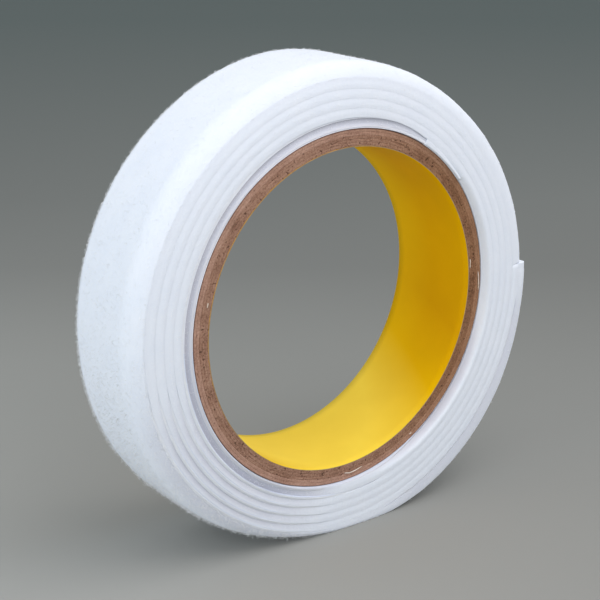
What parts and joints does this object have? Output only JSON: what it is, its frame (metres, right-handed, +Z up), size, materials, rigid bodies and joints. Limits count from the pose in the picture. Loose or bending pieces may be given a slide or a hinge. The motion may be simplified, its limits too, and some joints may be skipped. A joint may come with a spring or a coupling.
{
  "type": "hook and loop tape roll",
  "caption": "Roll of white self-adhesive loop fastener tape on a brown paperboard core with a yellow paper lining.",
  "frame": {"origin": "on the surface that the roll stands on, below the middle of its outline", "axes": "+Z up, +Y along the core's axis away from the near face, +X towards the side with the cut end"},
  "size_m": [0.1126, 0.0274, 0.1109],
  "materials": {
    "lining_paper": "satin printed paper",
    "dark_board": "raw cut kraft board",
    "pale_board": "raw cut kraft board",
    "release_liner": "smooth film",
    "adhesive": "clear tacky layer",
    "loop_fabric": "woven backing with a soft loop pile"
  },
  "bodies": {
    "root": {"core_lining": "lining_paper", "core_ply_1": "dark_board", "core_ply_2": "dark_board", "core_ply_3": "dark_board", "core_ply_4": "pale_board", "core_ply_5": "pale_board", "release_liner": "release_liner", "adhesive_layer": "adhesive", "loop_fabric": "loop_fabric"}
  },
  "joints": []
}
